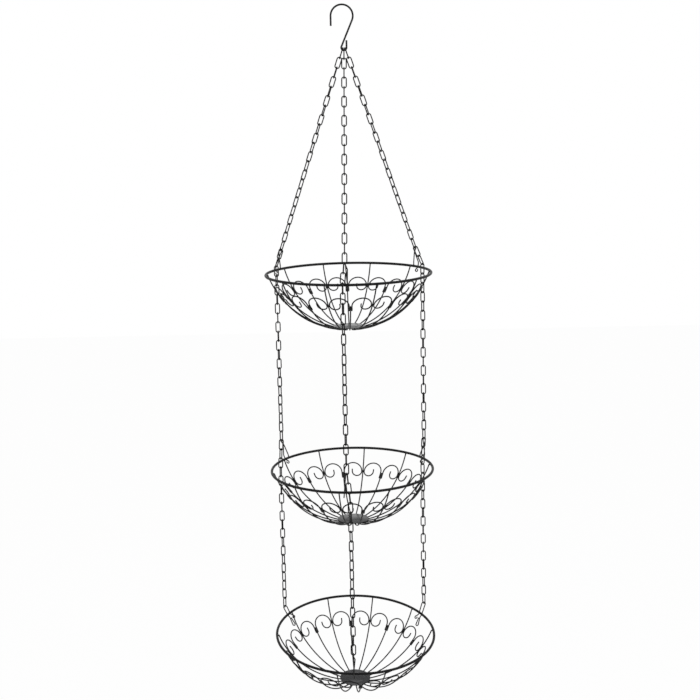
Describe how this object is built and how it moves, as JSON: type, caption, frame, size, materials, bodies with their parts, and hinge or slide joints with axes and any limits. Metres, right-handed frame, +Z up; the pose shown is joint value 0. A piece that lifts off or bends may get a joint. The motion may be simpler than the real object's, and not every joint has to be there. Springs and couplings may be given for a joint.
{
  "type": "hanging wire fruit basket",
  "caption": "Tiered wire fruit basket of open bowls with scroll work, hung by linked chains and spring clips from an S-shaped ceiling hook.",
  "frame": {"origin": "point inside the top of the ceiling hook where the support carries it", "axes": "+Z up, +X to the right seen from the front, front towards -Y"},
  "size_m": [0.26, 0.269, 1.0849],
  "materials": {
    "black_wire": "satin black paint",
    "plate_paint": "gloss dark grey paint"
  },
  "bodies": {
    "ceiling": {"ceiling_hook": "black_wire"},
    "upper_tier": {"upper_chain_front": "black_wire", "upper_chain_left": "black_wire", "upper_chain_right": "black_wire", "top_clip_front": "black_wire", "top_clip_left": "black_wire", "top_clip_right": "black_wire", "top_rim": "black_wire", "top_ribs": "black_wire", "top_stems": "black_wire", "top_scrolls_left": "black_wire", "top_scrolls_right": "black_wire", "top_base_plate": "plate_paint", "middle_shoulder_front": "black_wire", "middle_shoulder_left": "black_wire", "middle_shoulder_right": "black_wire"},
    "middle_swing_link_front": {"middle_swing_link_front": "black_wire"},
    "middle_chain_front": {"middle_chain_front": "black_wire"},
    "middle_end_link_front": {"middle_end_link_front": "black_wire"},
    "middle_swing_link_left": {"middle_swing_link_left": "black_wire"},
    "middle_chain_left": {"middle_chain_left": "black_wire"},
    "middle_end_link_left": {"middle_end_link_left": "black_wire"},
    "middle_swing_link_right": {"middle_swing_link_right": "black_wire"},
    "middle_chain_right": {"middle_chain_right": "black_wire"},
    "middle_end_link_right": {"middle_end_link_right": "black_wire"},
    "lower_swing_link_front": {"lower_swing_link_front": "black_wire"},
    "lower_chain_front": {"lower_chain_front": "black_wire"},
    "lower_end_link_front": {"lower_end_link_front": "black_wire"},
    "lower_swing_link_left": {"lower_swing_link_left": "black_wire"},
    "lower_chain_left": {"lower_chain_left": "black_wire"},
    "lower_end_link_left": {"lower_end_link_left": "black_wire"},
    "lower_swing_link_right": {"lower_swing_link_right": "black_wire"},
    "lower_chain_right": {"lower_chain_right": "black_wire"},
    "lower_end_link_right": {"lower_end_link_right": "black_wire"},
    "middle_tier": {"middle_clip_front": "black_wire", "middle_clip_left": "black_wire", "middle_clip_right": "black_wire", "middle_rim": "black_wire", "middle_ribs": "black_wire", "middle_stems": "black_wire", "middle_scrolls_left": "black_wire", "middle_scrolls_right": "black_wire", "middle_base_plate": "plate_paint", "lower_shoulder_front": "black_wire", "lower_shoulder_left": "black_wire", "lower_shoulder_right": "black_wire"},
    "bottom_tier": {"bottom_clip_front": "black_wire", "bottom_clip_left": "black_wire", "bottom_clip_right": "black_wire", "bottom_rim": "black_wire", "bottom_ribs": "black_wire", "bottom_stems": "black_wire", "bottom_scrolls_left": "black_wire", "bottom_scrolls_right": "black_wire", "bottom_base_plate": "plate_paint"}
  },
  "joints": [
    {"name": "hook_swing", "type": "hinge", "parent": "ceiling", "child": "upper_tier", "pos_m": [0, 0, -0.06127], "axis": [0, 1, 0], "range_deg": [-12, 12]},
    {"name": "middle_sway", "type": "hinge", "parent": "upper_tier", "child": "middle_swing_link_front", "pos_m": [-0.00888, -0.13454, -0.41384], "axis": [1, 0, 0], "range_deg": [-12, 12]},
    {"name": "middle_swing", "type": "hinge", "parent": "middle_swing_link_front", "child": "middle_chain_front", "pos_m": [-0.00888, -0.13454, -0.42894], "axis": [0, 1, 0], "range_deg": [-12, 12]},
    {"name": "middle_swing_back_front", "type": "hinge", "parent": "middle_chain_front", "child": "middle_end_link_front", "pos_m": [-0.00888, -0.13454, -0.67054], "axis": [0, 1, 0], "range_deg": [-12, 12]},
    {"name": "middle_sway_back", "type": "hinge", "parent": "middle_end_link_front", "child": "middle_tier", "pos_m": [-0.00888, -0.13454, -0.68564], "axis": [1, 0, 0], "range_deg": [-12, 12]},
    {"name": "middle_sway_left", "type": "hinge", "parent": "upper_tier", "child": "middle_swing_link_left", "pos_m": [-0.11524, 0.07, -0.41264], "axis": [1, 0, 0], "range_deg": [-12, 12]},
    {"name": "middle_swing_left", "type": "hinge", "parent": "middle_swing_link_left", "child": "middle_chain_left", "pos_m": [-0.11524, 0.07, -0.42774], "axis": [0, 1, 0], "range_deg": [-12, 12]},
    {"name": "middle_swing_back_left", "type": "hinge", "parent": "middle_chain_left", "child": "middle_end_link_left", "pos_m": [-0.11524, 0.07, -0.66934], "axis": [0, 1, 0], "range_deg": [-12, 12]},
    {"name": "middle_sway_right", "type": "hinge", "parent": "upper_tier", "child": "middle_swing_link_right", "pos_m": [0.11824, 0.0648, -0.41264], "axis": [1, 0, 0], "range_deg": [-12, 12]},
    {"name": "middle_swing_right", "type": "hinge", "parent": "middle_swing_link_right", "child": "middle_chain_right", "pos_m": [0.11824, 0.0648, -0.42774], "axis": [0, 1, 0], "range_deg": [-12, 12]},
    {"name": "middle_swing_back_right", "type": "hinge", "parent": "middle_chain_right", "child": "middle_end_link_right", "pos_m": [0.11824, 0.0648, -0.66934], "axis": [0, 1, 0], "range_deg": [-12, 12]},
    {"name": "lower_sway", "type": "hinge", "parent": "middle_tier", "child": "lower_swing_link_front", "pos_m": [-0.00388, -0.13476, -0.73041], "axis": [1, 0, 0], "range_deg": [-12, 12]},
    {"name": "lower_swing", "type": "hinge", "parent": "lower_swing_link_front", "child": "lower_chain_front", "pos_m": [-0.00388, -0.13476, -0.74551], "axis": [0, 1, 0], "range_deg": [-12, 12]},
    {"name": "lower_swing_back_front", "type": "hinge", "parent": "lower_chain_front", "child": "lower_end_link_front", "pos_m": [-0.00388, -0.13476, -0.95691], "axis": [0, 1, 0], "range_deg": [-12, 12]},
    {"name": "lower_sway_back", "type": "hinge", "parent": "lower_end_link_front", "child": "bottom_tier", "pos_m": [-0.00388, -0.13476, -0.97201], "axis": [1, 0, 0], "range_deg": [-12, 12]},
    {"name": "lower_sway_left", "type": "hinge", "parent": "middle_tier", "child": "lower_swing_link_left", "pos_m": [-0.11774, 0.06567, -0.72921], "axis": [1, 0, 0], "range_deg": [-12, 12]},
    {"name": "lower_swing_left", "type": "hinge", "parent": "lower_swing_link_left", "child": "lower_chain_left", "pos_m": [-0.11774, 0.06567, -0.74431], "axis": [0, 1, 0], "range_deg": [-12, 12]},
    {"name": "lower_swing_back_left", "type": "hinge", "parent": "lower_chain_left", "child": "lower_end_link_left", "pos_m": [-0.11774, 0.06567, -0.95571], "axis": [0, 1, 0], "range_deg": [-12, 12]},
    {"name": "lower_sway_right", "type": "hinge", "parent": "middle_tier", "child": "lower_swing_link_right", "pos_m": [0.11574, 0.06913, -0.72921], "axis": [1, 0, 0], "range_deg": [-12, 12]},
    {"name": "lower_swing_right", "type": "hinge", "parent": "lower_swing_link_right", "child": "lower_chain_right", "pos_m": [0.11574, 0.06913, -0.74431], "axis": [0, 1, 0], "range_deg": [-12, 12]},
    {"name": "lower_swing_back_right", "type": "hinge", "parent": "lower_chain_right", "child": "lower_end_link_right", "pos_m": [0.11574, 0.06913, -0.95571], "axis": [0, 1, 0], "range_deg": [-12, 12]}
  ],
  "couplings": [
    {"joint": "middle_swing_back_front", "follows": "middle_swing", "ratio": -1},
    {"joint": "middle_sway_back", "follows": "middle_sway", "ratio": -1},
    {"joint": "middle_sway_left", "follows": "middle_sway", "ratio": 1},
    {"joint": "middle_swing_left", "follows": "middle_swing", "ratio": 1},
    {"joint": "middle_swing_back_left", "follows": "middle_swing", "ratio": -1},
    {"joint": "middle_sway_right", "follows": "middle_sway", "ratio": 1},
    {"joint": "middle_swing_right", "follows": "middle_swing", "ratio": 1},
    {"joint": "middle_swing_back_right", "follows": "middle_swing", "ratio": -1},
    {"joint": "lower_swing_back_front", "follows": "lower_swing", "ratio": -1},
    {"joint": "lower_sway_back", "follows": "lower_sway", "ratio": -1},
    {"joint": "lower_sway_left", "follows": "lower_sway", "ratio": 1},
    {"joint": "lower_swing_left", "follows": "lower_swing", "ratio": 1},
    {"joint": "lower_swing_back_left", "follows": "lower_swing", "ratio": -1},
    {"joint": "lower_sway_right", "follows": "lower_sway", "ratio": 1},
    {"joint": "lower_swing_right", "follows": "lower_swing", "ratio": 1},
    {"joint": "lower_swing_back_right", "follows": "lower_swing", "ratio": -1}
  ]
}
